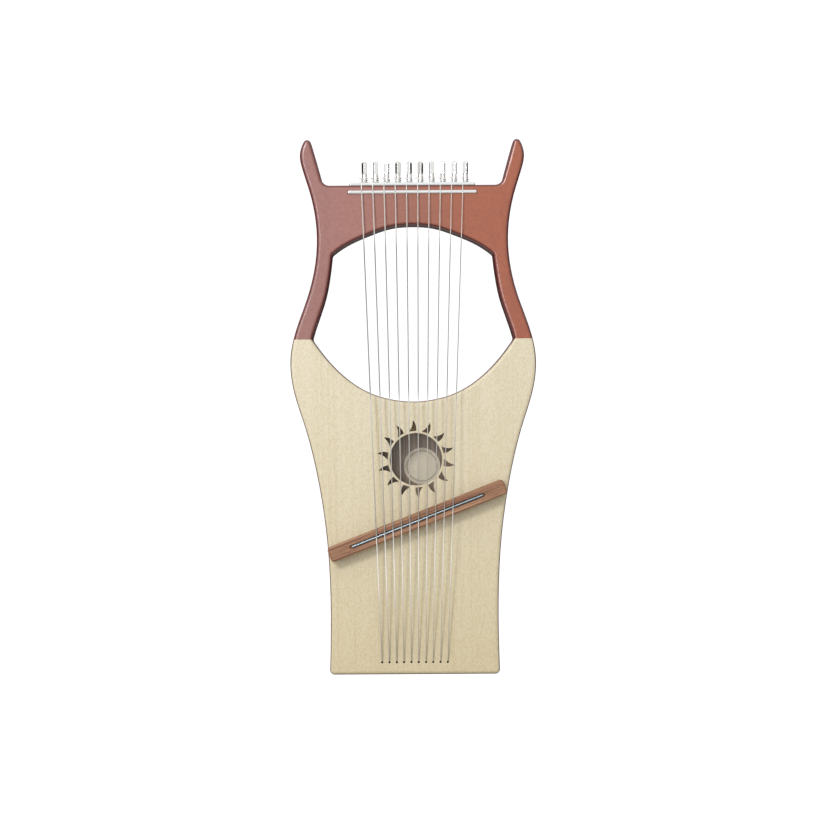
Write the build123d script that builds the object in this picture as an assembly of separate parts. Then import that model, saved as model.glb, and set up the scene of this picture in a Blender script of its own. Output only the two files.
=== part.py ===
from build123d import *
import os
from math import cos, hypot, radians, sin, tan

# A ten-string lyre harp, standing upright on the flat end of its soundbox.
#
# +Z runs up the strings, +X to the player's right as seen from the strings' side, and +Y to the back, so the
# strings are on the -Y side. The origin is the centre of the flat end that it stands on, at half the depth of
# the soundbox. All sizes are in millimetres.
#
# Many lengths below are measured towards the front, as a number called front: front = -Y.

# ---------------------------------------------------------------- driving dimensions
DEPTH = 38.0               # the whole frame, front to back
PLATE = 3.0                # thickness of the soundboard and of the back plate
FRONT = DEPTH / 2          # front face of the soundboard, arms and yoke
CORE = FRONT - PLATE       # half the depth of the sides, between the two plates

SHOULDER_Z = 363.4         # the soundboard ends here, square across each arm
SHOULDER_BLOCK_Z = 332.0   # each arm's block runs down inside the soundbox to here
YOKE_TOP_Z = 530.4
HORN_TIP = (112.0, 585.0)
SEAM_X = 85.0              # glued joint between the yoke and each arm, and the end of the tail block
YOKE_LOW_Z = 440.0         # the window's edge lies above this wherever it borders the yoke
RIM_LOW_Z = 280.0          # the window's edge lies above this all along the cradle
RIM_END_X = 100.0

WALL = 6.0                 # sides and upper rim of the soundbox
LIP = 1.0                  # of the sides, standing round the edge of each let-in plate
TAIL_BLOCK_Z = 28.0        # height of the solid block at the lower end
LINING = 5.0               # glue strips inside the soundbox, square in section
LINING_GAP = 0.3           # what a brace stands clear of a strip

EDGE_ROUND = 4.0           # rounding of every long edge, front and back
HORN_ROOT_ROUND = 9.0      # in the corner between a horn and the yoke's top
HORN_TIP_ROUND = 4.3
ARCH_CORNER_ROUND = 4.0
SHOULDER_CORNER_ROUND = 5.0
TAIL_CORNER_ROUND = 5.0
PLATE_CORNER_ROUND = 3.2

EDGE_STEPS, CRADLE_STEPS = 18, 12    # points taken along an edge when it is moved sideways
SIDE_OVERRUN = 30.0        # the moved side edges run on this far above the shoulders

# Half outlines, as (X, Z). The outer edge runs from the flat end up to a horn's tip.
OUTER_EDGE = [
    (92.3, 0.0), (91.0, 62.0), (94.0, 140.0), (105.2, 218.0), (118.2, 270.0), (129.0, 305.0), (133.0, 344.0),
    (126.8, 374.0), (114.4, 409.0), (105.0, 450.0), (104.2, 485.0), (111.7, 525.0), (119.2, 549.0),
    (121.6, 563.0), (119.2, 574.0), HORN_TIP,
]
HORN_INNER_EDGE = [HORN_TIP, (107.0, 568.0), (101.8, 549.5), (96.6, YOKE_TOP_Z)]
ARCH_EDGE = [(0.0, 487.0), (24.0, 484.8), (46.0, 477.6), (68.0, 468.0), (87.2, 455.0)]
ARM_INNER_EDGE = [(87.2, 455.0), (90.0, 432.0), (95.1, 407.0), (103.0, 383.5), (109.3, SHOULDER_Z)]
CRADLE_EDGE = [(0.0, 295.7), (24.0, 298.2), (47.1, 305.4), (72.0, 320.9), (92.0, 340.4), (109.3, SHOULDER_Z)]

# Sound hole: a disc with a ring of flame-shaped slots around it.
HOLE_X, HOLE_Z = 2.3, 233.2
HOLE_R = 28.4
FLAMES = 14
FLAME_BASE_R, FLAME_TIP_R = 30.5, 42.2
FLAME_HALF_BASE = 4.0
FLAME_SWELLING = 4.36      # how far the clockwise side bulges, half way up
FLAME_HOLLOW_AT = 0.45     # the other side reaches the middle line this far up
FLAME_LEAN = 1.7           # the tip stands this far clockwise of the middle of the base
FLAME_START_DEG = 6.7      # the first flame stands this far anticlockwise of straight up

# Bridge and its saddle rod.
BRIDGE_X, BRIDGE_Z = 3.4, 167.0
BRIDGE_DEG = 21.3
BRIDGE_LENGTH, BRIDGE_WIDTH, BRIDGE_HEIGHT = 204.0, 16.4, 16.0
BRIDGE_BEVEL = 1.8
BRIDGE_END_ROUND = 4.0
SLOT_LENGTH, SLOT_WIDTH, SLOT_DEPTH = 157.0, 4.4, 3.2
SADDLE_LENGTH, SADDLE_R, SADDLE_PROUD = 152.0, 1.1, 1.1
SADDLE_CHAMFER = 0.35
STRIP_WIDTH = 1.6          # the saddle rod lies on a thin strip that stands in the slot

# Nut rod on the yoke's face and guide rod along its top edge.
ROD_R, ROD_DOME = 2.0, 1.4
ROD_SLACK, GROOVE_LONGER = 0.02, 0.4
NUT_LENGTH, NUT_Z, NUT_PROUD = 140.0, 522.6, 2.5
GUIDE_LENGTH, GUIDE_BACK, GUIDE_UP = 136.5, 2.5, 1.0

# Strings, pins and anchor holes; string 1 is the bass, on the left.
STRINGS = 10
NUT_SPACING, ANCHOR_SPACING = 12.15, 7.9
BASS_STRING_R, TREBLE_STRING_R = 0.6, 0.45
ANCHOR_Z, ANCHOR_HOLE_R = 13.5, 1.2
BALL_SEAT_R, BALL_SEAT_DEPTH = 2.6, 5.0
BALL_R, BALL_LENGTH = 1.7, 3.2
ANCHOR_BEND_R, ANCHOR_BEND_FRONT = 1.6, FRONT + 1.2
TOUCH_GAP = 0.03           # between a string and the rod that it lies on

PIN_R, PIN_CLEARANCE = 2.5, 0.05
PIN_FRONT = 4.0            # pins stand on the middle of the yoke's top
PIN_TOP_Z, PIN_FOOT_Z = YOKE_TOP_Z + 27.0, YOKE_TOP_Z - 18.5
PIN_HOLE_DEPTH = 20.0
PIN_FOOT_CHAMFER = 0.8
HEAD_LENGTH, HEAD_SQUARE = 14.0, 4.7
HEAD_CORNER_R = 3.05       # the square head's corners are turned down to this radius
HEAD_DOME, HEAD_CHAMFER = 2.2, 0.5
PIN_EYE_R, PIN_EYE_Z = 0.75, YOKE_TOP_Z + 9.0
# Each pin has been turned past the place where its eye faces right, because no two strings are tuned alike.
PIN_TURNED_DEG = (12.0, 33.0, -30.0, 10.0, -12.0, -9.0, 35.0, -34.0, -27.0, -20.0)

COIL_Z, COIL_PITCH, COIL_TURNS = YOKE_TOP_Z + 3.6, 2.3, 3
COIL_STEP_DEG = 22.5
COIL_GAP = 0.03
COIL_END_DEG = 32.0        # the last turn lies level and stops this far short of closing
STRING_START = 3.3         # the straight string starts this far in front of its pin's axis

DOWEL_R, DOWEL_REACH, DOWEL_SLACK = 4.0, 14.0, 0.05
DOWEL_END_GAP = 0.5
DOWEL_HEIGHTS = (476.0, 510.0)

BRACE_WIDTH, BRACE_HEIGHT = 7.0, 9.0
FRONT_BRACES = {"upper_brace": 280.5, "lower_brace": 176.0, "tail_brace": 92.0}
BACK_BRACES = {"back_upper_brace": 268.0, "back_lower_brace": 120.0}
LABEL_X, LABEL_Z, LABEL_R, LABEL_THICKNESS = 9.0, 225.0, 20.0, 0.3

SADDLE_FRONT = FRONT + BRIDGE_HEIGHT + SADDLE_PROUD - SADDLE_R
BALL_SEAT_FRONT = -FRONT + BALL_SEAT_DEPTH

BIG = 400.0                # larger than anything here, for cutting

os.makedirs("parts", exist_ok=True)


def save(name, shape):
    export_step(shape, f"parts/{name}.step")


# ---------------------------------------------------------------- small helpers
def at_front(front):
    """The XZ plane that lies this far to the front; extruding from it goes further to the front."""
    return Plane.XZ.offset(front)


def slab(face, back, front):
    """A face given in X and Z, made solid from one front to another."""
    return extrude(at_front(back) * face, front - back)


def block(low_x, high_x, low_z, high_z, back=-BIG, front=BIG):
    box = Box(high_x - low_x, front - back, high_z - low_z)
    return Pos((low_x + high_x) / 2, -(back + front) / 2, (low_z + high_z) / 2) * box


def flipped(points):
    return [(-x, z) for x, z in points]


def both_halves(points):
    """A half edge that starts on the middle line, as the points of one edge from end to end."""
    return flipped(points[:0:-1]) + points


def near_corners(face, points, reach=8.0):
    """The corners of a face that lie close to these points or to their mirror images."""
    found = []
    for corner in face.vertices():
        for x, z in points:
            if hypot(abs(corner.X) - x, corner.Y - z) < reach:
                found.append(corner)
    return ShapeList(found)


def main_solid(shape):
    return max(shape.solids(), key=lambda s: s.volume)


# ---------------------------------------------------------------- outlines, in X and Z
def outer_face():
    """Everything inside the outer edge, with rounded tail corners, horn roots and horn tips."""
    face = make_face([
        Line(flipped(OUTER_EDGE)[0], OUTER_EDGE[0]),
        Spline(*OUTER_EDGE),
        Spline(*HORN_INNER_EDGE),
        Line(HORN_INNER_EDGE[-1], flipped(HORN_INNER_EDGE)[-1]),
        Spline(*flipped(HORN_INNER_EDGE)),
        Spline(*flipped(OUTER_EDGE)),
    ])
    face = fillet(near_corners(face, [HORN_INNER_EDGE[-1]]), HORN_ROOT_ROUND)
    face = fillet(near_corners(face, [HORN_TIP], 2.0), HORN_TIP_ROUND)
    return fillet(near_corners(face, [OUTER_EDGE[0]]), TAIL_CORNER_ROUND)


def window_face():
    """The opening between the arms, the yoke and the cradle-shaped upper edge of the soundbox."""
    face = make_face([
        Spline(*both_halves(ARCH_EDGE)),
        Spline(*ARM_INNER_EDGE),
        Spline(*both_halves(CRADLE_EDGE)),
        Spline(*flipped(ARM_INNER_EDGE)),
    ])
    face = fillet(near_corners(face, [ARCH_EDGE[-1]], 2.0), ARCH_CORNER_ROUND)
    return fillet(near_corners(face, [CRADLE_EDGE[-1]], 2.0), SHOULDER_CORNER_ROUND)


def moved_edge(points, distance, steps=EDGE_STEPS):
    """Points of an edge moved sideways, to the left of its direction of travel."""
    edge = Spline(*points)
    found = []
    for i in range(steps + 1):
        place, way = edge @ (i / steps), edge % (i / steps)
        found.append((place.X - distance * way.Y, place.Y + distance * way.X))
    return found


def soundbox_face(distance, lowest_z=None, highest_z=SHOULDER_Z, corner=0.0):
    """The soundbox's outline, drawn in by a distance along its sides and its cradle edge."""
    lowest_z = distance if lowest_z is None else lowest_z
    side = [p for p in moved_edge(OUTER_EDGE, distance) if p[1] < SHOULDER_Z + SIDE_OVERRUN]
    face = make_face([
        Line(flipped(side)[0], side[0]),
        Spline(*side),
        Line(side[-1], flipped(side)[-1]),
        Spline(*flipped(side)),
    ])
    cradle = moved_edge(CRADLE_EDGE, -distance, CRADLE_STEPS)
    end, before = cradle[-1], cradle[-2]
    cradle.append((2 * end[0] - before[0], 2 * end[1] - before[1]))
    cradle.append((3 * end[0] - 2 * before[0], 3 * end[1] - 2 * before[1]))
    notch = make_face([Spline(*both_halves(cradle)), Line(cradle[-1], flipped(cradle)[-1])])
    height = highest_z - lowest_z
    face = face & (Pos(0, lowest_z + height / 2) * Rectangle(2 * BIG, height))
    face = face - notch
    if corner:
        face = fillet(near_corners(face, [(side[0][0], lowest_z)], 4.0), corner)
    return face


OUTER = outer_face()
WINDOW = window_face()
INSIDE = WALL + LINING + LINING_GAP

plate_face = soundbox_face(LIP, corner=PLATE_CORNER_ROUND)
hollow_face = soundbox_face(WALL, TAIL_BLOCK_Z, SHOULDER_BLOCK_Z)
inside_linings = soundbox_face(INSIDE, TAIL_BLOCK_Z + LINING, SHOULDER_BLOCK_Z - LINING - LINING_GAP)

# ---------------------------------------------------------------- the frame, before it is divided
blank = slab(OUTER - WINDOW, -FRONT, FRONT)
long_edges = ShapeList([e for e in blank.edges() if abs(abs((e @ 0.5).Y) - FRONT) < 1e-3])
blank = fillet(long_edges, EDGE_ROUND)

pocket = slab(plate_face, CORE, FRONT) + slab(plate_face, -FRONT, -CORE)
frame = main_solid(blank - pocket - slab(hollow_face, -CORE, CORE))


# ---------------------------------------------------------------- strings: where each one lies
def string_r(k):
    """Radius of a string; k counts from 0 in the bass."""
    return BASS_STRING_R + (TREBLE_STRING_R - BASS_STRING_R) * k / (STRINGS - 1)


def string_x(k, z):
    """Every string keeps to one upright plane, so its X changes evenly with height."""
    place = k - (STRINGS - 1) / 2
    spread = (NUT_SPACING - ANCHOR_SPACING) * (z - ANCHOR_Z) / (NUT_Z - ANCHOR_Z)
    return place * (ANCHOR_SPACING + spread)


def string_plane(k):
    """Plane of one string: its x axis runs up the string and its y axis runs to the front."""
    low = Vector(string_x(k, 0), 0, 0)
    high = Vector(string_x(k, 1), 0, 1)
    up = (high - low).normalized()
    return Plane(origin=low, x_dir=up, z_dir=up.cross(Vector(0, -1, 0)))


def along(k, z):
    """Distance up the string plane that reaches a height."""
    rise = string_x(k, 1) - string_x(k, 0)
    return z * hypot(1, rise)


def saddle_z(k):
    """Height at which a string crosses the tilted saddle rod."""
    z = BRIDGE_Z
    for _ in range(8):
        z = BRIDGE_Z + (string_x(k, z) - BRIDGE_X) * tan(radians(BRIDGE_DEG))
    return z


def coil_r(k):
    """Radius from the pin's axis to the middle of the string wound on it."""
    return PIN_R + COIL_GAP + string_r(k)


def pin_x(k):
    """The string leaves its pin on the left, so the pin stands to the right of the string's plane."""
    return string_x(k, COIL_Z) + coil_r(k)


def arc_over(circle, way_in, way_out):
    """An arc over a rod, between the two points where the string touches and leaves it.

    way_in and way_out are directions of travel, as (up, front)."""
    centre, radius = circle[:2], circle[2]
    start = (centre[0] + radius * way_in[1], centre[1] - radius * way_in[0])
    end = (centre[0] + radius * way_out[1], centre[1] - radius * way_out[0])
    middle = (way_in[0] + way_out[0], way_in[1] + way_out[1])
    length = hypot(*middle)
    top = (centre[0] + radius * middle[1] / length, centre[1] - radius * middle[0] / length)
    return start, top, end


def tangent_way(circle_a, circle_b):
    """Direction of the straight run from one rod to the next, with both rods behind it."""
    up, front = circle_b[0] - circle_a[0], circle_b[1] - circle_a[1]
    length = hypot(up, front)
    up, front = up / length, front / length
    lean = (circle_b[2] - circle_a[2]) / length
    level = (1 - lean * lean) ** 0.5
    return (up * level + front * lean, front * level - up * lean)


def string_solid(k):
    """One string from its pin, over the guide and nut rods and the saddle, and in through the soundboard."""
    r = string_r(k)
    reach = r + TOUCH_GAP
    guide = (along(k, YOKE_TOP_Z + GUIDE_UP), FRONT - GUIDE_BACK, ROD_R + reach)
    nut = (along(k, NUT_Z), FRONT + NUT_PROUD - ROD_R, ROD_R + reach)
    # The saddle rod is crossed at a slant, so the string meets it as a wider curve with the same crest.
    saddle_bend = SADDLE_R / cos(radians(BRIDGE_DEG)) ** 2 + reach
    saddle = (along(k, saddle_z(k)), SADDLE_FRONT + SADDLE_R + reach - saddle_bend, saddle_bend)
    bend = (along(k, ANCHOR_Z) + ANCHOR_BEND_R, ANCHOR_BEND_FRONT - ANCHOR_BEND_R, ANCHOR_BEND_R)
    start = (along(k, COIL_Z), PIN_FRONT + STRING_START)

    stops = [(start[0], start[1], 0.0), guide, nut, saddle, bend]
    ways = []
    for a, b in zip(stops, stops[1:]):
        ways.append(tangent_way(a, b))
    ways.append((0.0, -1.0))

    edges = []
    here = start
    for stop, way_in, way_out in zip(stops[1:], ways, ways[1:]):
        first, top, last = arc_over(stop, way_in, way_out)
        edges += [Line(here, first), ThreePointArc(first, top, last)]
        here = last
    edges.append(Line(here, (here[0], BALL_SEAT_FRONT)))

    path = string_plane(k) * Wire(edges)
    profile = Plane(path @ 0, z_dir=path % 0) * Circle(r)
    return sweep(profile, path=path)


# ---------------------------------------------------------------- holes and grooves for the fittings
def bar(x, z, front, radius, length):
    """A round bar along X."""
    return Pos(x, -front, z) * Rot(0, 90, 0) * Cylinder(radius, length)


def along_depth(x, z, back, front, radius):
    """A round bar from back to front."""
    return Pos(x, -(back + front) / 2, z) * Rot(90, 0, 0) * Cylinder(radius, front - back)


string_holes = Compound([
    along_depth(string_x(k, ANCHOR_Z), ANCHOR_Z, -BIG, BIG, ANCHOR_HOLE_R) for k in range(STRINGS)
])
ball_seats = Compound([
    along_depth(string_x(k, ANCHOR_Z), ANCHOR_Z, -BIG, BALL_SEAT_FRONT, BALL_SEAT_R)
    for k in range(STRINGS)
])
pin_holes = Compound([
    Pos(pin_x(k), -PIN_FRONT, YOKE_TOP_Z - PIN_HOLE_DEPTH + BIG / 2) * Cylinder(PIN_R + PIN_CLEARANCE, BIG)
    for k in range(STRINGS)
])
groove_r = ROD_R + ROD_SLACK
nut_groove = bar(0, NUT_Z, FRONT + NUT_PROUD - ROD_R, groove_r, NUT_LENGTH + GROOVE_LONGER)
guide_groove = bar(0, YOKE_TOP_Z + GUIDE_UP, FRONT - GUIDE_BACK, groove_r, GUIDE_LENGTH + GROOVE_LONGER)
dowel_holes = Compound([
    bar(side * SEAM_X, z, 0, DOWEL_R + DOWEL_SLACK, 2 * DOWEL_REACH)
    for side in (-1, 1) for z in DOWEL_HEIGHTS
])

# ---------------------------------------------------------------- the frame's pieces
yoke_zone = block(-SEAM_X, SEAM_X, YOKE_LOW_Z, 2 * BIG)
tail_zone = block(-SEAM_X, SEAM_X, -BIG, TAIL_BLOCK_Z)
rim_zone = block(-RIM_END_X, RIM_END_X, RIM_LOW_Z, SHOULDER_BLOCK_Z)

yoke = main_solid(main_solid(frame & yoke_zone) - pin_holes - nut_groove - guide_groove - dowel_holes)
tail_block = main_solid(main_solid(frame & tail_zone) - string_holes - ball_seats)
top_rim = main_solid(frame & rim_zone)
rest = frame - yoke_zone - tail_zone - rim_zone - dowel_holes
left_upright = main_solid(rest & block(-BIG, 0, -BIG, 2 * BIG))
right_upright = main_solid(rest & block(0, BIG, -BIG, 2 * BIG))

save("yoke", yoke)
save("tail_block", tail_block)
save("top_rim", top_rim)
save("left_upright", left_upright)
save("right_upright", right_upright)

dowels = [
    bar(side * SEAM_X, z, 0, DOWEL_R, 2 * (DOWEL_REACH - DOWEL_END_GAP))
    for side in (-1, 1) for z in DOWEL_HEIGHTS
]
save("yoke_dowels", Compound(dowels))


# ---------------------------------------------------------------- soundboard with its sun-shaped sound hole
def flame(i):
    """One flame of the sun: a slot that swells on its clockwise side and hollows on the other."""
    angle = 90 + FLAME_START_DEG + i * 360 / FLAMES
    height, half = FLAME_TIP_R - FLAME_BASE_R, FLAME_HALF_BASE
    tip = (height, -FLAME_LEAN)
    swelling = ThreePointArc((0, -half), (height / 2, -FLAME_SWELLING), tip)
    hollow = ThreePointArc(tip, (height * FLAME_HOLLOW_AT, 0), (0, half))
    face = make_face([Line((0, half), (0, -half)), swelling, hollow])
    return Pos(HOLE_X, HOLE_Z) * Rot(0, 0, angle) * Pos(FLAME_BASE_R, 0) * face


plate_blank = main_solid(blank & slab(plate_face, CORE, FRONT))
soundboard = plate_blank - along_depth(HOLE_X, HOLE_Z, -BIG, BIG, HOLE_R) - string_holes
for i in range(FLAMES):
    soundboard = soundboard - slab(flame(i), CORE - 1, FRONT + 1)
save("soundboard", main_solid(soundboard))

back_plate = main_solid(blank & slab(plate_face, -FRONT, -CORE))
save("back_plate", main_solid(back_plate - ball_seats - string_holes))

# ---------------------------------------------------------------- inside the soundbox
lining_face = hollow_face - soundbox_face(WALL + LINING, TAIL_BLOCK_Z + LINING, SHOULDER_BLOCK_Z - LINING)
save("front_lining", main_solid(slab(lining_face, CORE - LINING, CORE)))
save("back_lining", main_solid(slab(lining_face, -CORE, -CORE + LINING)))


def brace(z, back, front):
    """A bar across the inside of the soundbox, fitted between the linings."""
    strip = Pos(0, z) * Rectangle(BIG, BRACE_WIDTH)
    return main_solid(slab(strip & inside_linings, back, front))


for name, z in FRONT_BRACES.items():
    save(name, brace(z, CORE - BRACE_HEIGHT, CORE))
for name, z in BACK_BRACES.items():
    save(name, brace(z, -CORE, -CORE + BRACE_HEIGHT))
save("label", along_depth(LABEL_X, LABEL_Z, -CORE, -CORE + LABEL_THICKNESS, LABEL_R))

# ---------------------------------------------------------------- bridge and saddle rod
bridge_place = Pos(BRIDGE_X, -FRONT, BRIDGE_Z) * Rot(0, -BRIDGE_DEG, 0) * Rot(90, 0, 0)
plan = RectangleRounded(BRIDGE_LENGTH, BRIDGE_WIDTH, BRIDGE_END_ROUND)
bridge = extrude(plan, BRIDGE_HEIGHT)
bridge = chamfer(bridge.faces().sort_by(Axis.Z)[-1].edges(), BRIDGE_BEVEL)
bridge = bridge - Pos(0, 0, BRIDGE_HEIGHT) * extrude(SlotOverall(SLOT_LENGTH, SLOT_WIDTH), SLOT_DEPTH, both=True)
save("bridge", bridge_place * bridge)

saddle_rod = Rot(0, 90, 0) * Cylinder(SADDLE_R, SADDLE_LENGTH)
saddle_rod = chamfer(saddle_rod.edges().filter_by(GeomType.CIRCLE), SADDLE_CHAMFER)
save("saddle_rod", bridge_place * Pos(0, 0, SADDLE_FRONT - FRONT) * saddle_rod)

slot_floor = BRIDGE_HEIGHT - SLOT_DEPTH
strip_height = SADDLE_FRONT - SADDLE_R - FRONT - slot_floor
strip = Box(SADDLE_LENGTH, STRIP_WIDTH, strip_height)
save("saddle_strip", bridge_place * Pos(0, 0, slot_floor + strip_height / 2) * strip)


# ---------------------------------------------------------------- nut and guide rods
def rod(z, front, length):
    """A polished rod with domed ends."""
    shape = bar(0, z, front, ROD_R, length)
    return fillet(shape.edges().filter_by(GeomType.CIRCLE), ROD_DOME)


save("nut_rod", rod(NUT_Z, FRONT + NUT_PROUD - ROD_R, NUT_LENGTH))
save("guide_rod", rod(YOKE_TOP_Z + GUIDE_UP, FRONT - GUIDE_BACK, GUIDE_LENGTH))


# ---------------------------------------------------------------- tuning pins, windings and strings
def pin_solid():
    """A zither pin about its own axis, with its eye facing right; heights are from the yoke's top."""
    foot, top = PIN_FOOT_Z - YOKE_TOP_Z, PIN_TOP_Z - YOKE_TOP_Z
    neck = top - HEAD_LENGTH
    shank = Pos(0, 0, (foot + neck) / 2) * Cylinder(PIN_R, neck - foot)
    shank = chamfer(shank.edges().filter_by(GeomType.CIRCLE).sort_by(Axis.Z)[0], PIN_FOOT_CHAMFER)
    head = Pos(0, 0, top - HEAD_LENGTH / 2) * Cylinder(HEAD_CORNER_R, HEAD_LENGTH)
    head = fillet(head.edges().filter_by(GeomType.CIRCLE).sort_by(Axis.Z)[-1], HEAD_DOME)
    head = chamfer(head.edges().filter_by(GeomType.CIRCLE).sort_by(Axis.Z)[0], HEAD_CHAMFER)
    square = Rot(0, 0, 45) * Box(HEAD_SQUARE, HEAD_SQUARE, 2 * BIG)
    eye = Pos(0, 0, PIN_EYE_Z - YOKE_TOP_Z) * Rot(0, 90, 0) * Cylinder(PIN_EYE_R, 4 * PIN_R)
    return main_solid(shank + (head & square) - eye)


def coil_rise(turns):
    """Height of the wound string above its level last turn; the first half turn eases into the pitch."""
    if turns <= 0:
        return 0.0
    if turns < 0.5:
        return COIL_PITCH * turns * turns
    return COIL_PITCH * (turns - 0.25)


def coil_point(k, degrees):
    """Middle of the wound string, this many degrees back up the coil from where the string leaves it."""
    angle = radians(180 - degrees)
    rise = coil_rise((degrees - 360 + COIL_END_DEG) / 360)
    return (coil_r(k) * cos(angle), coil_r(k) * sin(angle), COIL_Z + rise)


def winding(k):
    """The wound string, from the pin's eye down to where the string leaves on the left."""
    last = 360 * COIL_TURNS + 180 + PIN_TURNED_DEG[k]
    steps = round(last / COIL_STEP_DEG)
    path = Spline(*[coil_point(k, last * i / steps) for i in range(steps + 1)])
    profile = Plane(path @ 0, z_dir=path % 0) * Circle(string_r(k))
    return Pos(pin_x(k), -PIN_FRONT, 0) * sweep(profile, path=path)


pin = pin_solid()
for k in range(STRINGS):
    number = f"{k + 1:02d}"
    save(f"pin_{number}", Pos(pin_x(k), -PIN_FRONT, YOKE_TOP_Z) * Rot(0, 0, -PIN_TURNED_DEG[k]) * pin)
    save(f"winding_{number}", winding(k))
    save(f"string_{number}", string_solid(k))

balls = [
    along_depth(string_x(k, ANCHOR_Z), ANCHOR_Z, BALL_SEAT_FRONT - BALL_LENGTH, BALL_SEAT_FRONT, BALL_R)
    for k in range(STRINGS)
]
save("ball_ends", Compound(balls))
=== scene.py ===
from math import atan2, cos, pi, radians, sin, tau

import bpy
import numpy as np
from mathutils import Matrix, Vector


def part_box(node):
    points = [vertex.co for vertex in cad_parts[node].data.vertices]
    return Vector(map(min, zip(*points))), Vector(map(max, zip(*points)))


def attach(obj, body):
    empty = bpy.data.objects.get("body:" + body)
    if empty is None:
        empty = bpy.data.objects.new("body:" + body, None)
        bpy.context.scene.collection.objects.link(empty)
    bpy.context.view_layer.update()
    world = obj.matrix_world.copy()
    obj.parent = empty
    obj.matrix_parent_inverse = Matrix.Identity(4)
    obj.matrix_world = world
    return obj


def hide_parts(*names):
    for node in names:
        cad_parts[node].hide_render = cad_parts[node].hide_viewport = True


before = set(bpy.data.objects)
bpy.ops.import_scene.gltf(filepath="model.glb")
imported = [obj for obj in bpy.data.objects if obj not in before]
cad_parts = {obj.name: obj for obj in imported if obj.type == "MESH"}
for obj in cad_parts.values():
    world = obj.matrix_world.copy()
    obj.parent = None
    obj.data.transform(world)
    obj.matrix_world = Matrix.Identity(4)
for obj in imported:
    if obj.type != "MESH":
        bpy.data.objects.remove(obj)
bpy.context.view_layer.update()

# %% [markdown]
# # A ten-string lyre harp
# The lyre is about 580 mm tall. Its wooden frame, soundbox, bridge and rods are exact CAD solids, which are
# already in the scene. What this lesson adds is what a luthier and a wire drawer would add last: lacquered wood
# with its grain and pores, polished rods, threaded tuning pins, and strings that wind onto them.
# Everything is in metres. +Z runs up the strings, +X to the right, and the strings are on the -Y side.

# %% What the frame holds
MM = 0.001
STRINGS = 10


# %% [markdown]
# ## Nodes and colours
# A material is a small network of nodes. Adding a node always takes the same three steps: make it, set its own
# choices, and feed its sockets. One helper does all three, so that the recipes below read as recipes.
# Colours are picked as sRGB hex values, as on any colour chart, but the renderer adds light in linear values, so
# every colour goes through one conversion.

# %% The helper that adds a node, and the colour conversion
def linear(colour):
    """Hex to linear RGBA: each channel c is ((c + 0.055) / 1.055) ** 2.4, or c / 12.92 when it is very dark."""
    channels = [int(colour[i:i + 2], 16) / 255 for i in (1, 3, 5)]
    return (*[((c + 0.055) / 1.055) ** 2.4 if c > 0.04045 else c / 12.92 for c in channels], 1.0)


def add_node(tree, kind, feeds=None, **choices):
    """Makes a node with its own choices; feeds maps each socket to a value or to the socket that drives it."""
    node = tree.nodes.new(kind)
    for name, value in choices.items():
        setattr(node, name, value)
    for name, value in (feeds or {}).items():
        if isinstance(value, bpy.types.NodeSocket):
            tree.links.new(value, node.inputs[name])
        else:
            node.inputs[name].default_value = value
    return node


def new_finish(name, **sockets):
    """A material with one Principled shader, whose plain sockets are set here; returns it and its tree."""
    material = bpy.data.materials.new(name)
    material.use_nodes = True
    tree = material.node_tree
    shader = tree.nodes["Principled BSDF"]
    for socket, value in sockets.items():
        shader.inputs[socket.replace("_", " ")].default_value = value
    return material, tree, shader


def ramp(tree, factor, stops):
    """A colour ramp from (position, hex) stops."""
    node = add_node(tree, "ShaderNodeValToRGB", {"Fac": factor})
    while len(node.color_ramp.elements) < len(stops):
        node.color_ramp.elements.new(0.5)
    for element, (position, colour) in zip(node.color_ramp.elements, stops):
        element.position = position
        element.color = linear(colour)
    return node.outputs["Color"]


def dress(material, *names):
    """Gives CAD nodes, or any objects, one material."""
    for name in names:
        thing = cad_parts.get(name) or bpy.data.objects[name]
        thing.data.materials.clear()
        thing.data.materials.append(material)


# %% [markdown]
# ## Wood
# Every wood here is built from the things that the eye reads in a real board. Growth rings give soft light and
# dark bands, stretched many times longer along the grain than across it. Fibres give a fine streak inside each
# band. Pores, in a hardwood, are short dark scratches that catch the lacquer as tiny dents. Each is the same
# noise, drawn at its own length and width.
# The grain's direction is set by a Mapping node, which turns the pattern before stretching it, so one recipe
# serves an upright, a yoke and a slanted bridge.

# %% One recipe for sawn wood
def grain_space(tree, turn_degrees, along_mm, across_mm, shift=0.0):
    """Object coordinates, turned about Y so that Z lies along the grain, then divided by the pattern's size."""
    place = add_node(tree, "ShaderNodeTexCoord").outputs["Object"]
    turned = add_node(tree, "ShaderNodeMapping", {
        "Vector": place,
        "Rotation": (0.0, radians(turn_degrees), 0.0),
        "Location": (shift, shift * 0.37, shift * 0.11),
    })
    across, along = 1 / (across_mm * MM), 1 / (along_mm * MM)
    return add_node(tree, "ShaderNodeMapping", {
        "Vector": turned.outputs["Vector"],
        "Scale": (across, across, along),
    }).outputs["Vector"]


def streaks(tree, vector, detail=3.0, distortion=0.0, roughness=0.55):
    """Noise whose cells are one unit across in the stretched space."""
    return add_node(tree, "ShaderNodeTexNoise", {
        "Vector": vector,
        "Scale": 1.0,
        "Detail": detail,
        "Roughness": roughness,
        "Distortion": distortion,
    }).outputs["Fac"]


def level(tree, value, low, high, to_low=0.0, to_high=1.0):
    """Stretches the range low..high of a value to another range, and holds it there beyond."""
    return add_node(tree, "ShaderNodeMapRange", {
        "Value": value,
        "From Min": low,
        "From Max": high,
        "To Min": to_low,
        "To Max": to_high,
    }).outputs["Result"]


def blend_colour(tree, kind, factor, a, b):
    """Mixes two colours by a blend type; a and b are sockets or linear colours."""
    node = add_node(tree, "ShaderNodeMix", data_type="RGBA", blend_type=kind)
    for index, value in ((0, factor), (6, a), (7, b)):
        if isinstance(value, bpy.types.NodeSocket):
            tree.links.new(value, node.inputs[index])
        else:
            node.inputs[index].default_value = value
    return node.outputs[2]


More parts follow.
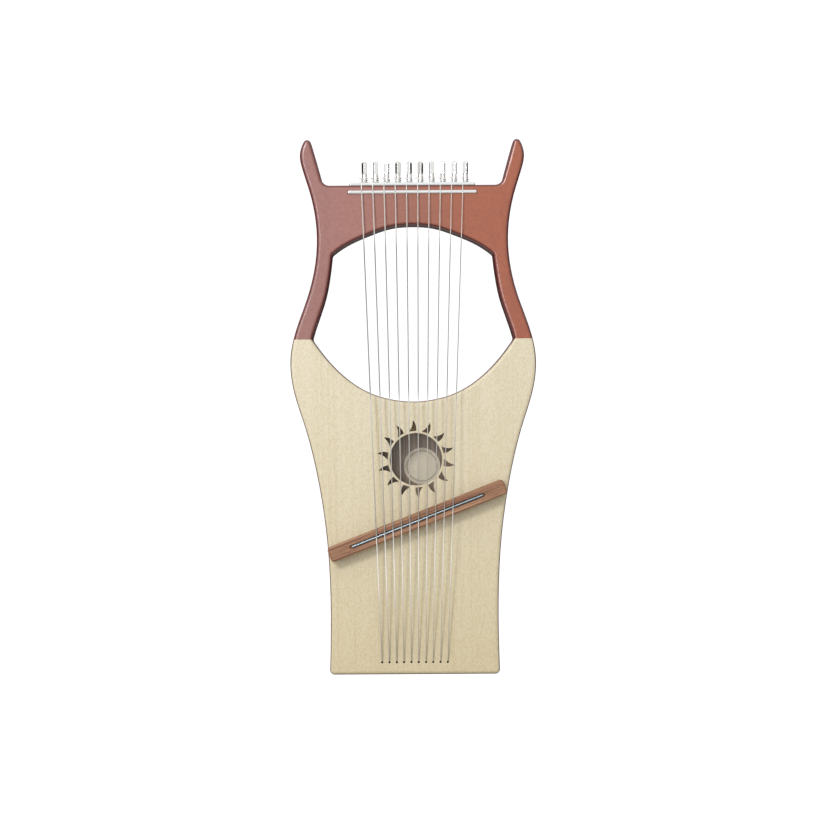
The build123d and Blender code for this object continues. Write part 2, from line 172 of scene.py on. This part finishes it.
def calculate(tree, operation, a, b=0.0):
    return add_node(tree, "ShaderNodeMath", {0: a, 1: b}, operation=operation).outputs["Value"]


print("wood recipe ready")


# %% [markdown]
# ### Satin-lacquered mahogany
# The arms, horns and yoke are a reddish hardwood, stained and sprayed with a satin lacquer. Their colour drifts
# from a cooler pinkish tone on the left to orange on the right: the wood's own tone with painted light, the cool
# light from the left painted into it. The routed round-overs and the sides get painted shade, so the frame is
# outlined in dark maroon. A surface's own direction tells the two apart: the face looks straight to the front or
# back, so the Y part of its normal is close to 1 there and falls away over the edge. The back plate was never
# finished on the inside, so that face of it is bare grey-brown wood.

# %% Mahogany
# painted light: the left tones are cooler and pinker for the light from the left, the right ones more orange
WOOD_TONES_AND_PAINTED_LIGHT = [(0.0, "#8a5a51"), (0.25, "#925e51"), (0.5, "#8d5139"), (0.75, "#954c26"), (1.0, "#954a24")]
BOARD_HALF_WIDTH = 0.115


def mahogany(name, turn, shift, edge_shade="#561710"):
    """One wide board, its colour drifting across it with painted light, and painted shade where the surface turns away
    from the face.
    """
    material, tree, shader = new_finish(
        name, Roughness=0.42, Coat_Weight=1.0, Coat_Roughness=0.24, Specular_IOR_Level=0.4)
    bands = streaks(tree, grain_space(tree, turn, 260.0, 12.0, shift), 2.0, 0.3)
    fibres = streaks(tree, grain_space(tree, turn, 9.0, 0.9, shift), 2.0)
    pores = streaks(tree, grain_space(tree, turn, 1.8, 0.8, shift), 2.0)
    mottle = streaks(tree, grain_space(tree, turn, 5.0, 3.2, shift), 3.0)

    place = add_node(tree, "ShaderNodeTexCoord").outputs["Object"]
    across = add_node(tree, "ShaderNodeSeparateXYZ", {0: place}).outputs["X"]
    wood = ramp(tree, level(tree, across, -BOARD_HALF_WIDTH, BOARD_HALF_WIDTH), WOOD_TONES_AND_PAINTED_LIGHT)
    wood = blend_colour(tree, "MULTIPLY", level(tree, bands, 0.35, 0.65, 0.0, 0.14), wood, linear("#c48f80"))
    wood = blend_colour(tree, "MULTIPLY", level(tree, fibres, 0.4, 0.7, 0.0, 0.16), wood, linear("#cfa095"))
    wood = blend_colour(tree, "MULTIPLY", level(tree, mottle, 0.38, 0.66, 0.0, 0.3), wood, linear("#c89a8c"))
    pore = level(tree, pores, 0.5, 0.66)
    wood = blend_colour(tree, "MIX", calculate(tree, "MULTIPLY", pore, 0.2), wood, linear("#6e3426"))

    normal = add_node(tree, "ShaderNodeTexCoord").outputs["Normal"]
    facing = calculate(tree, "ABSOLUTE", add_node(tree, "ShaderNodeSeparateXYZ", {0: normal}).outputs["Y"])
    # painted shade: the round-overs and sides, where the normal turns away from the front or back, are darkened to
    # maroon
    painted_edge_shade = level(tree, facing, 0.8, 0.985, 1.0, 0.0)
    wood = blend_colour(tree, "MIX", painted_edge_shade, wood, linear(edge_shade))
    tree.links.new(wood, shader.inputs["Base Color"])

    rough = level(tree, mottle, 0.3, 0.7, 0.36, 0.46)
    tree.links.new(rough, shader.inputs["Roughness"])
    dents = calculate(tree, "MULTIPLY", pore, -1.0)
    bump = add_node(tree, "ShaderNodeBump", {"Strength": 0.3, "Distance": 0.06 * MM, "Height": dents})
    tree.links.new(bump.outputs["Normal"], shader.inputs["Normal"])
    return material


UPRIGHT_LEAN = 4.0
dress(mahogany("mahogany_left_satin_lacquer", -UPRIGHT_LEAN, 0.11), "left_upright")
dress(mahogany("mahogany_right_satin_lacquer", UPRIGHT_LEAN, 0.47), "right_upright")
dress(mahogany("mahogany_yoke_satin_lacquer", 90.0, 0.83), "yoke")
dress(mahogany("mahogany_rim_satin_lacquer", 90.0, 1.31), "top_rim", "tail_block")


def raw_inside(name, finished):
    """The finished wood outside; on the face that looks into the soundbox, bare grey-brown wood."""
    material = finished.copy()
    material.name = name
    tree = material.node_tree
    shader = tree.nodes["Principled BSDF"]
    outside = shader.inputs["Base Color"].links[0].from_socket
    normal = add_node(tree, "ShaderNodeTexCoord").outputs["Normal"]
    inwards = level(tree, add_node(tree, "ShaderNodeSeparateXYZ", {0: normal}).outputs["Y"], -0.9, -0.5, 1.0, 0.0)
    fibres = streaks(tree, grain_space(tree, 0.0, 60.0, 1.8, 0.5), 3.0)
    bare = ramp(tree, level(tree, fibres, 0.35, 0.65), [(0.0, "#6b5744"), (1.0, "#93806a")])
    tree.links.new(blend_colour(tree, "MIX", inwards, outside, bare), shader.inputs["Base Color"])
    return material


dress(raw_inside("mahogany_back_raw_inside", mahogany("mahogany_back_satin_lacquer", 0.0, 2.07)), "back_plate")

# %% [markdown]
# ### Spruce soundboard
# A soundboard is quarter-sawn spruce: straight rings that run with the strings, with a thin darker line where
# each summer's growth ends. Under a satin lacquer it is a warm cream, a little yellower towards the lower end.
# Rings this fine almost vanish at arm's length, so they are drawn 1.7 mm wide with little contrast. Short silky
# flecks lie across them. The edges of the holes were cut with heat and are burnt brown.

# %% Spruce
def spruce(name, pale, warm, line, gloss=0.5, coat=0.12, burnt=None):
    """Thin dark ring lines on a cream ground that warms downwards."""
    material, tree, shader = new_finish(
        name, Roughness=gloss, Coat_Weight=coat, Coat_Roughness=0.3, Specular_IOR_Level=0.35)
    rings = streaks(tree, grain_space(tree, 0.4, 500.0, 1.7, 0.2), 2.0, 0.0)
    bands = streaks(tree, grain_space(tree, 0.4, 800.0, 14.0, 0.9), 2.0, 0.2)
    silk = streaks(tree, grain_space(tree, 84.0, 5.0, 0.9, 0.3), 2.0)
    speck = streaks(tree, grain_space(tree, 0.0, 2.6, 1.5, 0.6), 2.0)

    place = add_node(tree, "ShaderNodeTexCoord").outputs["Object"]
    height = add_node(tree, "ShaderNodeSeparateXYZ", {0: place}).outputs["Z"]
    wood = ramp(tree, level(tree, height, 0.02, 0.34), [(0.0, warm), (1.0, pale)])
    wood = blend_colour(tree, "MULTIPLY", level(tree, rings, 0.5, 0.75, 0.0, 0.2), wood, linear(line))
    wood = blend_colour(tree, "MULTIPLY", level(tree, bands, 0.4, 0.65, 0.0, 0.12), wood, linear("#ece0c8"))
    wood = blend_colour(tree, "MULTIPLY", level(tree, silk, 0.55, 0.75, 0.0, 0.25), wood, linear("#ecdfc4"))
    wood = blend_colour(tree, "MULTIPLY", level(tree, speck, 0.42, 0.66, 0.0, 0.4), wood, linear("#e2d6bc"))
    if burnt:
        normal = add_node(tree, "ShaderNodeTexCoord").outputs["Normal"]
        facing = calculate(tree, "ABSOLUTE", add_node(tree, "ShaderNodeSeparateXYZ", {0: normal}).outputs["Y"])
        wood = blend_colour(tree, "MIX", level(tree, facing, 0.3, 0.7, 1.0, 0.0), wood, linear(burnt))
    tree.links.new(wood, shader.inputs["Base Color"])
    bump = add_node(tree, "ShaderNodeBump", {"Strength": 0.2, "Distance": 0.05 * MM, "Height": rings})
    tree.links.new(bump.outputs["Normal"], shader.inputs["Normal"])
    return material


dress(spruce("spruce_satin_lacquer", "#cbc2aa", "#c7bb9c", "#d9c6a0", burnt="#5a3a1e"), "soundboard")
bare_spruce = spruce("spruce_bare", "#cdb68d", "#c9b085", "#b39768", 0.7, 0.0)
dress(bare_spruce, "front_lining", "back_lining", "upper_brace", "lower_brace", "tail_brace",
      "back_upper_brace", "back_lower_brace")

# %% [markdown]
# ### Bridge wood
# The bridge is a narrow bar with its grain along its length, only oiled, so its long open pores show as dark
# scratches and its colour varies more than the lacquered frame's. The strip in its slot is the same wood,
# blackened, and its near-black tone also paints the shade down in the slot beside the rod.

# %% Bridge
BRIDGE_TILT = 21.3
BROWN = ("#704731", "#8c6447", "#a27a5c")
# the blackened tones are partly stain and partly painted shade for the dark slot under the saddle rod
BLACKENED_AND_SLOT_SHADE = ("#1d1613", "#241b17", "#2c221d")


def bridge_wood(name, tones=BROWN):
    """Long dark pores and bands in three tones of one brown."""
    material, tree, shader = new_finish(
        name, Roughness=0.5, Coat_Weight=0.12, Coat_Roughness=0.35, Specular_IOR_Level=0.4)
    turn = 90.0 + BRIDGE_TILT
    bands = streaks(tree, grain_space(tree, turn, 90.0, 2.2, 0.4), 3.0, 0.5)
    pores = streaks(tree, grain_space(tree, turn, 9.0, 0.6, 0.7), 2.0)
    wood = ramp(tree, level(tree, bands, 0.33, 0.68), list(zip((0.0, 0.45, 1.0), tones)))
    wood = blend_colour(tree, "MIX", level(tree, pores, 0.56, 0.68, 0.0, 0.6), wood, linear("#4d2a1b"))
    tree.links.new(wood, shader.inputs["Base Color"])
    dents = level(tree, pores, 0.56, 0.68, 0.0, -1.0)
    bump = add_node(tree, "ShaderNodeBump", {"Strength": 0.5, "Distance": 0.1 * MM, "Height": dents})
    tree.links.new(bump.outputs["Normal"], shader.inputs["Normal"])
    return material


dress(bridge_wood("bridge_wood_oiled"), "bridge")
dress(bridge_wood("saddle_strip_blackened_and_painted_shade", BLACKENED_AND_SLOT_SHADE), "saddle_strip")

# %% [markdown]
# ### Metals and small parts
# The nut and guide rods are ground and polished steel, almost mirrors. The saddle rod was left dull. The tuning
# pins are nickel-plated and smoother still. Strings are drawn wire; over the open window between the arms their
# colour is darkened as painted shade, for the dark surroundings they reflect there. A metal's look is nearly all
# reflection, so these recipes mostly vary how sharp the reflection is.

# %% Steel, nickel, wire, brass, beech and paper
def metal(name, colour, roughness, wear_mm, spread):
    """A bare metal whose roughness wanders by a spread over a distance in millimetres."""
    material, tree, shader = new_finish(name, Metallic=1.0, Base_Color=linear(colour))
    wear = streaks(tree, grain_space(tree, 0.0, wear_mm, wear_mm * 0.5, 0.1), 3.0)
    rough = level(tree, wear, 0.3, 0.7, roughness - spread, roughness + spread)
    tree.links.new(rough, shader.inputs["Roughness"])
    bump = add_node(tree, "ShaderNodeBump", {"Strength": 0.1, "Distance": 0.02 * MM, "Height": wear})
    tree.links.new(bump.outputs["Normal"], shader.inputs["Normal"])
    return material


# painted shade: the wire colour over the open window between the arms is darkened for the dark surroundings it
# reflects
BRIGHT_WIRE, WIRE_PAINTED_SHADE = "#e4e2dd", "#94908b"
WINDOW_SHADE_FROM, WINDOW_SHADE_TO, WINDOW_SHADE_FADE = 303 * MM, 468 * MM, 7 * MM


def paint_window_shade(material, shade_colour, low, high):
    """Paints shade on a metal over a stretch of its height, where the wire reflects the dark surroundings."""
    tree = material.node_tree
    shader = tree.nodes["Principled BSDF"]
    place = add_node(tree, "ShaderNodeTexCoord").outputs["Object"]
    height = add_node(tree, "ShaderNodeSeparateXYZ", {0: place}).outputs["Z"]
    above = level(tree, height, low - WINDOW_SHADE_FADE, low + WINDOW_SHADE_FADE)
    below = level(tree, height, high - WINDOW_SHADE_FADE, high + WINDOW_SHADE_FADE, 1.0, 0.0)
    in_window = calculate(tree, "MULTIPLY", above, below)
    bright = tuple(shader.inputs["Base Color"].default_value)
    tree.links.new(blend_colour(tree, "MIX", in_window, bright, linear(shade_colour)), shader.inputs["Base Color"])


polished_steel = metal("steel_rod_polished", "#f0f3f4", 0.14, 1.5, 0.05)
plated_nickel = metal("nickel_plate_tumbled", "#eceae6", 0.09, 0.8, 0.03)
drawn_wire = metal("steel_wire_drawn", BRIGHT_WIRE, 0.65, 0.5, 0.06)
# painted shade on the strings between 303 and 468 mm, over the open window above the soundbox
paint_window_shade(drawn_wire, WIRE_PAINTED_SHADE, WINDOW_SHADE_FROM, WINDOW_SHADE_TO)
dress(polished_steel, "nut_rod", "guide_rod")
dress(metal("steel_saddle_dull", "#8f9ea6", 0.3, 1.5, 0.05), "saddle_rod")
dress(metal("brass_turned", "#c9a24d", 0.3, 0.6, 0.08), "ball_ends")


def beech(name):
    """Pale bare dowel wood with short flecks."""
    material, tree, shader = new_finish(name, Roughness=0.7)
    flecks = streaks(tree, grain_space(tree, 90.0, 3.0, 0.5, 0.2), 2.0)
    wood = ramp(tree, level(tree, flecks, 0.4, 0.7), [(0.0, "#c89f70"), (1.0, "#a97d4f")])
    tree.links.new(wood, shader.inputs["Base Color"])
    return material


dress(beech("beech_dowel_bare"), "yoke_dowels")


def label_paper(name):
    """Off-white laid paper with one plain printed ring, centred on the label."""
    material, tree, shader = new_finish(name, Roughness=0.85)
    low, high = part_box("label")
    middle = (low + high) / 2
    place = add_node(tree, "ShaderNodeTexCoord").outputs["Object"]
    centred = add_node(tree, "ShaderNodeMapping", {"Vector": place, "Location": -middle}).outputs["Vector"]
    distance = add_node(tree, "ShaderNodeVectorMath", {0: centred}, operation="LENGTH").outputs["Value"]
    outer_ring, ring_width = 16.5 * MM, 0.9 * MM
    off_ring = calculate(tree, "ABSOLUTE", calculate(tree, "SUBTRACT", distance, outer_ring))
    ink = level(tree, off_ring, ring_width * 0.5, ring_width * 0.8, 0.7, 0.0)
    mottle = streaks(tree, grain_space(tree, 0.0, 2.0, 1.5, 0.4), 3.0)
    paper = ramp(tree, level(tree, mottle, 0.3, 0.7), [(0.0, "#cabfa9"), (1.0, "#d9cfba")])
    paper = blend_colour(tree, "MIX", ink, paper, linear("#8b7a63"))
    tree.links.new(paper, shader.inputs["Base Color"])
    return material


dress(label_paper("label_laid_paper"), "label")
print("CAD nodes dressed")


# %% [markdown]
# ## Surfaces on a grid
# A pin, a coil and a string are all the same kind of surface: a ring of points carried along a line. Numpy works
# out every ring at once, as one array of rows (along) by columns (round), and the faces are only the pattern of
# which four neighbours touch. The two ends are closed with a fan round one middle point.

# %% Grid to mesh
def closed_tube(name, rings):
    """A mesh from rings of points, shaped (rows, columns, 3); each quad joins two neighbours on two rows."""
    rows, columns = rings.shape[:2]
    points = np.concatenate([rings.reshape(-1, 3), rings[:1].mean(axis=1), rings[-1:].mean(axis=1)])
    row, column = np.meshgrid(np.arange(rows - 1), np.arange(columns), indexing="ij")
    following = (column + 1) % columns
    quads = np.stack([
        row * columns + column,
        row * columns + following,
        (row + 1) * columns + following,
        (row + 1) * columns + column,
    ], axis=-1).reshape(-1, 4)
    round_once = np.arange(columns)
    next_once = (round_once + 1) % columns
    last = (rows - 1) * columns
    start_fan = np.stack([next_once, round_once, np.full(columns, rows * columns)], axis=-1)
    end_fan = np.stack([last + round_once, last + next_once, np.full(columns, rows * columns + 1)], axis=-1)
    mesh = bpy.data.meshes.new(name)
    mesh.from_pydata(points.tolist(), [], quads.tolist() + start_fan.tolist() + end_fan.tolist())
    mesh.polygons.foreach_set("use_smooth", np.ones(len(mesh.polygons), bool))
    mesh.update()
    thing = bpy.data.objects.new(name, mesh)
    bpy.context.scene.collection.objects.link(thing)
    return thing


def unit(vectors):
    return vectors / np.linalg.norm(vectors, axis=-1, keepdims=True)


def round_wire(name, path, aside, radius, columns=12):
    """A tube round a path: at each point, a circle in the plane of aside and of its cross product with the path."""
    along = unit(np.gradient(path, axis=0))
    aside = unit(aside - (aside * along).sum(axis=1, keepdims=True) * along)
    other = np.cross(along, aside)
    angle = np.arange(columns) * tau / columns
    ring = np.cos(angle)[None, :, None] * aside[:, None] + np.sin(angle)[None, :, None] * other[:, None]
    return closed_tube(name, path[:, None] + ring * np.reshape(radius, (-1, 1, 1)))


# %% [markdown]
# ## Where the rods and pins are
# The strings have to touch what the CAD model made, so every place is read from the boxes of its nodes.

# %% Places read from the frame
def middle_of(node):
    low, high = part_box(node)
    return (low + high) / 2


BASS_STRING_R, TREBLE_STRING_R = 0.6 * MM, 0.45 * MM
ROD_R, SADDLE_R, PIN_R = 2.0 * MM, 1.1 * MM, 2.5 * MM
TOUCH = 0.03 * MM
GUIDE, NUT = middle_of("guide_rod"), middle_of("nut_rod")
SADDLE = middle_of("saddle_rod")


def string_r(k):
    """Radius of string k, evenly thinner from bass to treble."""
    return BASS_STRING_R + (TREBLE_STRING_R - BASS_STRING_R) * k / (STRINGS - 1)


def coil_r(k):
    return PIN_R + TOUCH + string_r(k)


pins = [middle_of(f"pin_{k + 1:02d}") for k in range(STRINGS)]
pin_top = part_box("pin_01")[1].z
yoke_top = GUIDE.z - 1.0 * MM
coil_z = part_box("winding_01")[0].z + string_r(0)
print("yoke top", round(yoke_top, 4), "pin top", round(pin_top, 4), "last turn", round(coil_z, 4))


# %% [markdown]
# ## Tuning pins
# A zither pin is a 5 mm steel rod, about 45 mm long. Its lower part carries a very fine thread that grips the
# wood, its top is a square for the key, and its crown is rounded.
# The whole pin is one surface of height and angle. Its outline goes from a circle to a rounded square by raising
# the power n in |x|^n + |y|^n = r^n from 2 upwards, and the thread is a small ripple whose crest climbs one
# pitch a turn.

# %% Pin surface
PIN_FOOT, PIN_SQUARE = 18.5 * MM, 14.0 * MM
THREAD_PITCH, THREAD_DEPTH = 0.8 * MM, 0.16 * MM
THREAD_TOP = 1.6 * MM
CROWN_R = 2.3 * MM
HALF_SQUARE, SQUARE_SHARPNESS = 2.28 * MM, 10.0


def pin_rings(columns=64, rows=240):
    """Rings from foot to crown; radius = shape(angle, power) * profile(height) - thread ripple."""
    top = pin_top - yoke_top
    height = np.concatenate([
        np.linspace(-PIN_FOOT, top - CROWN_R, rows),
        top - CROWN_R + CROWN_R * np.sin(np.linspace(0.05, 0.5 * pi, 14)),
    ])
    angle = np.arange(columns) * tau / columns
    z, turn = np.meshgrid(height, angle, indexing="ij")
    squareness = np.clip((z - (top - PIN_SQUARE)) / (2.0 * MM), 0, 1)
    squareness = squareness * squareness * (3 - 2 * squareness)
    power = 2 + SQUARE_SHARPNESS * squareness
    shape = (np.abs(np.cos(turn - pi / 4)) ** power + np.abs(np.sin(turn - pi / 4)) ** power) ** (-1 / power)
    half = PIN_R * (1 - squareness) + HALF_SQUARE * squareness
    above = np.clip((z - (top - CROWN_R)) / CROWN_R, 0, 1)
    crown = np.sqrt(np.clip(1 - 0.93 * above ** 2, 0, 1))
    foot = np.clip((z + PIN_FOOT) / (1.2 * MM), 0, 1) * 0.25 + 0.75
    phase = z / THREAD_PITCH - turn / tau
    ripple = np.abs((phase % 1) - 0.5) * 2
    threaded = np.clip((THREAD_TOP - z) / (0.5 * MM), 0, 1)
    radius = half * shape * crown * foot - THREAD_DEPTH * ripple * threaded
    return np.stack([radius * np.cos(turn), radius * np.sin(turn), z], axis=-1)


PIN_RINGS = pin_rings()
print("pin grid", PIN_RINGS.shape)

# %% [markdown]
# ## Strings wound on their pins
# The tail of a string goes through the pin's eye, stands out a few millimetres where it was cut, and turns out
# of the eye into a few open turns that run down the pin. The path is a straight tail, a quarter bend, and a
# helix whose last turn lies almost level, so that the string leaves it at the same height however far the pin
# is turned. No two pins are strung alike: each pin was left turned to its own angle, and each tail was cut to
# its own length.

# %% Winding path
COIL_PITCH, COIL_TURNS = 2.3 * MM, 3
LEVEL_DEGREES = 328
EYE_BEND, EYE_LIFT = 1.05 * MM, 0.15 * MM
PIN_TURNED = -np.array([12.0, 33.0, -30.0, 10.0, -12.0, -9.0, 35.0, -34.0, -27.0, -20.0])
TAIL = np.random.default_rng(7).uniform(2.0, 3.5, STRINGS) * MM


def winding_path(k):
    """Tail, bend and helix about the pin's own axis; returns the path and a sideways direction for its tube."""
    reach = coil_r(k)
    bend_degrees = np.degrees(np.arcsin(EYE_BEND / reach))
    total = 360.0 * COIL_TURNS + 180 - PIN_TURNED[k]
    back = np.linspace(total - bend_degrees, 0, 150)
    turns = (back - LEVEL_DEGREES) / 360
    rise = COIL_PITCH * np.where(turns <= 0, 0, np.where(turns < 0.5, turns * turns, turns - 0.25))
    angle = np.radians(180 - back)
    helix = np.stack([reach * np.cos(angle), reach * np.sin(angle), coil_z + rise], axis=-1)

    eye = np.radians(180 - total)
    outward = np.array([np.cos(eye), np.sin(eye), 0.0])
    onward = np.array([-np.sin(eye), np.cos(eye), 0.0])
    bend_start = (reach - EYE_BEND) * outward
    quarter = np.linspace(0, 0.5 * pi, 9)[:-1, None]
    bend = bend_start + EYE_BEND * (np.sin(quarter) * outward + (1 - np.cos(quarter)) * onward)
    tail_steps = np.linspace(-(PIN_R + TAIL[k]), reach - EYE_BEND, 8)[:-1, None]
    tail = tail_steps * outward
    flat = np.concatenate([tail, bend])
    flat[:, 2] = helix[0, 2] + EYE_LIFT
    path = np.concatenate([flat, helix])
    return path, np.tile([0.0, 0.0, 1.0], (len(path), 1))


def tuning_pin(k):
    """One pin and its winding, both riding on the pin's body."""
    number = f"{k + 1:02d}"
    body = f"tuning_pin_{number}"
    axis = np.array([pins[k].x, pins[k].y, 0.0])
    turned = np.radians(PIN_TURNED[k])
    spin = np.array([[np.cos(turned), -np.sin(turned), 0], [np.sin(turned), np.cos(turned), 0], [0, 0, 1]])
    pin = closed_tube(f"zither_pin_{number}", PIN_RINGS @ spin.T + axis + [0, 0, yoke_top])
    dress(plated_nickel, pin.name)
    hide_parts(f"pin_{number}")
    path, aside = winding_path(k)
    coil = round_wire(f"wound_string_{number}", path + axis, aside, string_r(k))
    dress(drawn_wire, coil.name)
    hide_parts(f"winding_{number}")
    for piece, slot in ((pin, "pin_steel"), (coil, "string_steel")):
        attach(piece, body)


for k in range(STRINGS):
    tuning_pin(k)
print("pins strung:", STRINGS)

# %% [markdown]
# ## Strings
# A stretched string is straight lines between the things it bends over: its pin, the guide rod, the nut rod,
# the saddle rod, and the edge of its hole in the tail. Where it bends, it follows a circle a wire's radius
# outside the rod. Each straight part is the common tangent of two circles, found from the angle between their
# centres and the difference of their radii. Each string keeps to one upright plane, in which "down" is along
# the string and "front" is away from the soundboard.

# %% String route in its own plane
HOLE_Z = 13.5 * MM
BEND_R = 1.6 * MM
TAIL_BEND_FRONT = 20.2 * MM
BALL_SEAT = 14.0 * MM


def run_between(a, b):
    """Unit direction of the common tangent from circle a to circle b, both behind it; circles are (down, front, r)."""
    down, front = b[0] - a[0], b[1] - a[1]
    length = np.hypot(down, front)
    lean = (b[2] - a[2]) / length
    level_part = np.sqrt(1 - lean * lean)
    down, front = down / length, front / length
    return np.array([down * level_part - front * lean, front * level_part + down * lean])


def arc_over(circle, way_in, way_out, steps=9):
    """Points where the outward normal swings from square to way_in to square to way_out."""
    first = atan2(way_in[0], -way_in[1])
    last = atan2(way_out[0], -way_out[1])
    swing = np.linspace(first, last, steps)
    return np.stack([circle[0] - circle[2] * np.cos(swing), circle[1] + circle[2] * np.sin(swing)], axis=-1)


def string_ends(k):
    """X of a string at its coil and at its hole, from its CAD node's box: the fan narrows downwards."""
    low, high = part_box(f"string_{k + 1:02d}")
    left, right = low.x + string_r(k), high.x - string_r(k)
    return (left, right) if k < STRINGS / 2 else (right, left)


def string_path(k):
    """All points of one string, from its pin to its ball end, in the row frame."""
    radius = string_r(k)
    x_top, x_low = string_ends(k)
    slope = (x_top - x_low) / (coil_z - HOLE_Z)
    stretch = np.hypot(1, slope)
    tilt = np.tan(radians(BRIDGE_TILT))
    saddle_z = (SADDLE.z + tilt * (x_low - slope * HOLE_Z - SADDLE.x)) / (1 - tilt * slope)
    over_saddle = SADDLE_R / cos(radians(BRIDGE_TILT)) ** 2 + radius + TOUCH
    saddle_front = -SADDLE.y + SADDLE_R + radius + TOUCH - over_saddle
    rod = ROD_R + radius + TOUCH
    circles = [
        (-coil_z * stretch, -pins[k].y, 0.0),
        (-GUIDE.z * stretch, -GUIDE.y, rod),
        (-NUT.z * stretch, -NUT.y, rod),
        (-saddle_z * stretch, saddle_front, over_saddle),
        (-HOLE_Z * stretch - BEND_R, TAIL_BEND_FRONT - BEND_R, BEND_R),
    ]
    ways = [run_between(a, b) for a, b in zip(circles, circles[1:])] + [np.array([0.0, -1.0])]
    bends = [arc_over(c, a, b) for c, a, b in zip(circles[1:], ways, ways[1:])]
    start = np.array([[circles[0][0], circles[0][1]]])
    end = np.array([[bends[-1][-1][0], -BALL_SEAT]])
    flat = np.concatenate([start, *bends, end])
    z = -flat[:, 0] / stretch
    return np.stack([x_low + slope * (z - HOLE_Z), -flat[:, 1], z], axis=-1)


def string(k):
    """One string as a drawn wire that replaces its CAD solid."""
    number = f"{k + 1:02d}"
    path = string_path(k)
    plane_normal = np.tile([1.0, 0.0, 0.0], (len(path), 1))
    wire = round_wire(f"string_wire_{number}", path, plane_normal, string_r(k), 14)
    dress(drawn_wire, wire.name)
    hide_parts(f"string_{number}")
    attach(wire, "frame")
    return path


routes = [string_path(k) for k in range(STRINGS)]
for k in range(STRINGS):
    string(k)
print("string 1 from", np.round(routes[0][0], 4), "to", np.round(routes[0][-1], 4))

# %% [markdown]
# ## Floor, light and camera
# The lyre stands on a pale floor in a white studio that is open to the front and overhead. One large lamp up on
# the left gives the soft shadow that falls down and to the right of the bridge, and a tall narrow one beside it
# gives the long highlights. To the sides and behind, the light is nearly black, as if by a studio's dark flags,
# which gives the polished pins and rods the dark lines that make them read as metal. The camera does not see
# those flags: it sees white wherever the lyre is not.

# %% Floor
BACKDROP = 1.1


def pale_floor():
    """A square sheet of grey paint that only light meets; the camera sees it as white as the backdrop."""
    half_width = 1.5
    corners = np.array([[-1, -1, 0], [1, -1, 0], [1, 1, 0], [-1, 1, 0]]) * half_width
    mesh = bpy.data.meshes.new("studio_floor")
    mesh.from_pydata(corners.tolist(), [], [(0, 1, 2, 3)])
    floor = bpy.data.objects.new("studio_floor", mesh)
    bpy.context.scene.collection.objects.link(floor)
    material, tree, shader = new_finish("floor_matt_paint", Roughness=0.9, Base_Color=linear("#b4b2ae"))
    seen = add_node(tree, "ShaderNodeLightPath").outputs["Is Camera Ray"]
    white = add_node(tree, "ShaderNodeEmission", {"Strength": BACKDROP}).outputs["Emission"]
    either = add_node(tree, "ShaderNodeMixShader", {0: seen, 1: shader.outputs["BSDF"], 2: white})
    tree.links.new(either.outputs["Shader"], tree.nodes["Material Output"].inputs["Surface"])
    dress(material, floor.name)
    return floor


pale_floor()

# %% Surroundings
DARK_SIDES, SKY = 0.03, 0.95


def surroundings():
    """White in front and overhead, dark to the sides and behind; the camera itself sees white."""
    world = bpy.data.worlds.new("white_studio")
    world.use_nodes = True
    tree = world.node_tree
    tree.nodes.clear()
    way = add_node(tree, "ShaderNodeTexCoord").outputs["Generated"]
    parts = add_node(tree, "ShaderNodeSeparateXYZ", {0: way})
    in_front = level(tree, parts.outputs["Y"], -0.4, 0.0, 1.0, DARK_SIDES)
    overhead = level(tree, parts.outputs["Z"], 0.15, 0.45, 0.0, 1.0)
    tone = calculate(tree, "MAXIMUM", in_front, overhead)
    seen = add_node(tree, "ShaderNodeLightPath").outputs["Is Camera Ray"]
    strength = add_node(tree, "ShaderNodeMix", {0: seen, 2: calculate(tree, "MULTIPLY", tone, SKY), 3: BACKDROP})
    glow = add_node(tree, "ShaderNodeBackground", {"Color": (1.0, 1.0, 1.0, 1.0), "Strength": strength.outputs[0]})
    add_node(tree, "ShaderNodeOutputWorld", {"Surface": glow.outputs["Background"]})
    bpy.context.scene.world = world


surroundings()
bpy.context.scene.view_settings.view_transform = "Standard"


# %% Lamps
def lamp(name, place, aim, width, height, power, colour="#ffffff"):
    """A soft box that faces a point."""
    light = bpy.data.lights.new(name, "AREA")
    light.shape = "RECTANGLE"
    light.size, light.size_y = width, height
    light.energy = power
    light.color = linear(colour)[:3]
    thing = bpy.data.objects.new(name, light)
    thing.location = place
    thing.rotation_euler = (Vector(aim) - Vector(place)).to_track_quat("-Z", "Y").to_euler()
    bpy.context.scene.collection.objects.link(thing)
    return thing


lamp("key_lamp", (-1.1, -2.2, 1.5), (0, 0, 0.28), 0.55, 0.55, 36.0)
lamp("strip_lamp", (-1.0, -2.25, 0.42), (0, 0, 0.35), 0.22, 1.3, 14.0, "#e4ecff")


# %% Camera
DISTANCE = 2.5
VIEW_WIDTH = 0.888
VIEW_MIDDLE_X, VIEW_MIDDLE_Z = -0.0038, 0.2865
SENSOR = 36.0
ROLL = 0.35


def camera():
    """Level and square to the front; lens = sensor * distance / width seen at the soundboard's front."""
    data = bpy.data.cameras.new("camera")
    data.sensor_width = SENSOR
    data.lens = SENSOR * DISTANCE / VIEW_WIDTH
    thing = bpy.data.objects.new("camera", data)
    front = -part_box("soundboard")[0].y
    place = Matrix.Translation((VIEW_MIDDLE_X, -(front + DISTANCE), VIEW_MIDDLE_Z))
    thing.matrix_world = place @ Matrix.Rotation(radians(90), 4, "X") @ Matrix.Rotation(radians(-ROLL), 4, "Z")
    bpy.context.scene.collection.objects.link(thing)
    bpy.context.scene.camera = thing
    print("lens", round(data.lens, 1), "mm")


camera()
